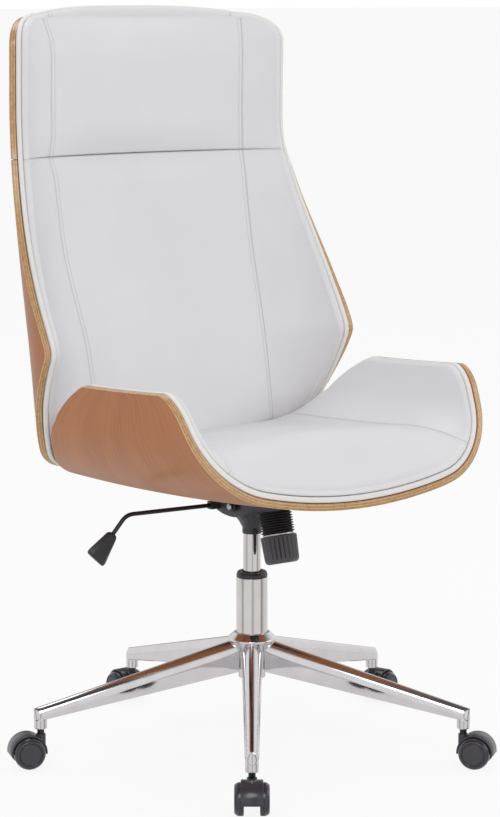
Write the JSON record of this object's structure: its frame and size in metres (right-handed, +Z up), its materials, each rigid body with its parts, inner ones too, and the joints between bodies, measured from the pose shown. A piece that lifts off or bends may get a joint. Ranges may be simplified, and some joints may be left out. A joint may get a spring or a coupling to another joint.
{
  "type": "office chair",
  "caption": "High-back swivel office chair with bent-plywood shells, white leather cushions, headrest, tilt mechanism, gas lift and a polished star base on twin-wheel casters.",
  "frame": {"origin": "centre of the bounding box on the floor, under the chair", "axes": "+Z up, -Y the way the sitter faces, +X to the sitter's left"},
  "size_m": [0.7724, 0.7346, 1.1852],
  "materials": {
    "walnut": "satin lacquered veneer",
    "leather": "smooth white, stitched",
    "chrome": "polished",
    "steel": "zinc plated",
    "black_steel": "black powder coat",
    "grey_plastic": "dark grey, fine texture",
    "black_plastic": "black",
    "rubber": "black, matt",
    "casting": "dark grey paint on a casting"
  },
  "bodies": {
    "base": {"star_base": "chrome", "column_tube": "chrome", "guide_collar": "black_plastic", "retaining_clip": "steel", "thrust_bearing": "steel"},
    "swivel": {"piston_rod": "steel"},
    "lift": {"gas_cylinder": "chrome", "tilt_housing": "casting", "pivot_shaft": "steel", "spring_boot": "rubber", "tension_spring": "steel"},
    "seat": {"seat_plate": "black_steel", "seat_bolt_1": "steel", "seat_bolt_2": "steel", "seat_bolt_3": "steel", "seat_bolt_4": "steel", "seat_shell": "walnut", "seat_liner": "leather", "seat_pad": "leather", "back_bracket": "black_steel", "bracket_screw_1": "steel", "bracket_screw_2": "steel", "bracket_screw_3": "steel", "bracket_screw_4": "steel", "back_shell": "walnut", "headrest_shell": "walnut", "back_liner": "leather", "back_pad": "leather", "headrest_pad": "leather"},
    "lever_mount": {"lever_bush": "black_plastic"},
    "lever": {"lever_rod": "black_steel", "lever_handle": "black_plastic"},
    "bolt": {"tension_bolt": "steel"},
    "washer": {"thrust_washer": "steel"},
    "knob": {"tension_knob": "grey_plastic"},
    "caster_front_right": {"front_right_caster_hood": "grey_plastic", "front_right_caster_stem": "black_steel", "front_right_caster_axle": "steel"},
    "front_right_wheel_left": {"front_right_wheel_left": "grey_plastic"},
    "front_right_wheel_right": {"front_right_wheel_right": "grey_plastic"},
    "caster_front_left": {"front_left_caster_hood": "grey_plastic", "front_left_caster_stem": "black_steel", "front_left_caster_axle": "steel"},
    "front_left_wheel_left": {"front_left_wheel_left": "grey_plastic"},
    "front_left_wheel_right": {"front_left_wheel_right": "grey_plastic"},
    "caster_side_right": {"side_right_caster_hood": "grey_plastic", "side_right_caster_stem": "black_steel", "side_right_caster_axle": "steel"},
    "side_right_wheel_left": {"side_right_wheel_left": "grey_plastic"},
    "side_right_wheel_right": {"side_right_wheel_right": "grey_plastic"},
    "caster_side_left": {"side_left_caster_hood": "grey_plastic", "side_left_caster_stem": "black_steel", "side_left_caster_axle": "steel"},
    "side_left_wheel_left": {"side_left_wheel_left": "grey_plastic"},
    "side_left_wheel_right": {"side_left_wheel_right": "grey_plastic"},
    "caster_rear": {"rear_caster_hood": "grey_plastic", "rear_caster_stem": "black_steel", "rear_caster_axle": "steel"},
    "rear_wheel_left": {"rear_wheel_left": "grey_plastic"},
    "rear_wheel_right": {"rear_wheel_right": "grey_plastic"}
  },
  "joints": [
    {"name": "seat_swivel", "type": "hinge", "parent": "base", "child": "swivel", "pos_m": [0, -0.0334, 0.2], "axis": [0, 0, 1], "continuous": true},
    {"name": "seat_lift", "type": "slide", "parent": "swivel", "child": "lift", "axis": [0, 0, 1], "range_m": [-0.055, 0.045]},
    {"name": "seat_tilt", "type": "hinge", "parent": "lift", "child": "seat", "pos_m": [0, -0.0504, 0.404], "axis": [-1, 0, 0], "range_deg": [0, 10], "stiffness_Nm_per_rad": 220, "springref_deg": -11.46},
    {"name": "bolt_slide", "type": "slide", "parent": "lift", "child": "bolt", "axis": [0, 0.2588, 0.9659], "range_m": [0, 0.0085], "deforming": ["spring_boot", "tension_spring"]},
    {"name": "knob_travel", "type": "slide", "parent": "bolt", "child": "washer", "axis": [0, 0.2588, 0.9659], "range_m": [-0.003, 0.00525], "deforming": ["spring_boot", "tension_spring"]},
    {"name": "knob_turn", "type": "hinge", "parent": "washer", "child": "knob", "pos_m": [0, -0.0944, 0.397], "axis": [0, 0.2588, 0.9659], "range_deg": [-720, 1260]},
    {"name": "lever_lift", "type": "hinge", "parent": "lift", "child": "lever_mount", "pos_m": [-0.0455, -0.0034, 0.399], "axis": [0, 1, 0], "range_deg": [0, 5]},
    {"name": "lever_slide", "type": "slide", "parent": "lever_mount", "child": "lever", "axis": [1, 0, 0], "range_m": [0, 0.012]},
    {"name": "caster_front_right_swivel", "type": "hinge", "parent": "base", "child": "caster_front_right", "pos_m": [-0.20572, -0.31656, 0.05], "axis": [0, 0, 1], "continuous": true},
    {"name": "front_right_wheel_left_spin", "type": "hinge", "parent": "caster_front_right", "child": "front_right_wheel_left", "pos_m": [-0.20284, -0.3456, 0.025], "axis": [0.809, -0.5878, 0], "continuous": true},
    {"name": "front_right_wheel_right_spin", "type": "hinge", "parent": "caster_front_right", "child": "front_right_wheel_right", "pos_m": [-0.23423, -0.32279, 0.025], "axis": [0.809, -0.5878, 0], "continuous": true},
    {"name": "caster_front_left_swivel", "type": "hinge", "parent": "base", "child": "caster_front_left", "pos_m": [0.20572, -0.31656, 0.05], "axis": [0, 0, 1], "continuous": true},
    {"name": "front_left_wheel_left_spin", "type": "hinge", "parent": "caster_front_left", "child": "front_left_wheel_left", "pos_m": [0.23423, -0.32279, 0.025], "axis": [0.809, 0.5878, 0], "continuous": true},
    {"name": "front_left_wheel_right_spin", "type": "hinge", "parent": "caster_front_left", "child": "front_left_wheel_right", "pos_m": [0.20284, -0.3456, 0.025], "axis": [0.809, 0.5878, 0], "continuous": true},
    {"name": "caster_side_right_swivel", "type": "hinge", "parent": "base", "child": "caster_side_right", "pos_m": [-0.33287, 0.07476, 0.05], "axis": [0, 0, 1], "continuous": true},
    {"name": "side_right_wheel_left_spin", "type": "hinge", "parent": "caster_side_right", "child": "side_right_wheel_left", "pos_m": [-0.3596, 0.06304, 0.025], "axis": [-0.309, -0.9511, 0], "continuous": true},
    {"name": "side_right_wheel_right_spin", "type": "hinge", "parent": "caster_side_right", "child": "side_right_wheel_right", "pos_m": [-0.34761, 0.09994, 0.025], "axis": [-0.309, -0.9511, 0], "continuous": true},
    {"name": "caster_side_left_swivel", "type": "hinge", "parent": "base", "child": "caster_side_left", "pos_m": [0.33287, 0.07476, 0.05], "axis": [0, 0, 1], "continuous": true},
    {"name": "side_left_wheel_left_spin", "type": "hinge", "parent": "caster_side_left", "child": "side_left_wheel_left", "pos_m": [0.34761, 0.09994, 0.025], "axis": [-0.309, 0.9511, 0], "continuous": true},
    {"name": "side_left_wheel_right_spin", "type": "hinge", "parent": "caster_side_left", "child": "side_left_wheel_right", "pos_m": [0.3596, 0.06304, 0.025], "axis": [-0.309, 0.9511, 0], "continuous": true},
    {"name": "caster_rear_swivel", "type": "hinge", "parent": "base", "child": "caster_rear", "pos_m": [0, 0.3166, 0.05], "axis": [0, 0, 1], "continuous": true},
    {"name": "rear_wheel_left_spin", "type": "hinge", "parent": "caster_rear", "child": "rear_wheel_left", "pos_m": [-0.0194, 0.3384, 0.025], "axis": [-1, 0, 0], "continuous": true},
    {"name": "rear_wheel_right_spin", "type": "hinge", "parent": "caster_rear", "child": "rear_wheel_right", "pos_m": [0.0194, 0.3384, 0.025], "axis": [-1, 0, 0], "continuous": true}
  ],
  "couplings": [
    {"joint": "bolt_slide", "follows": "seat_tilt", "m_per_rad": 0.041},
    {"joint": "knob_turn", "follows": "knob_travel", "rad_per_m": 4188.8}
  ]
}
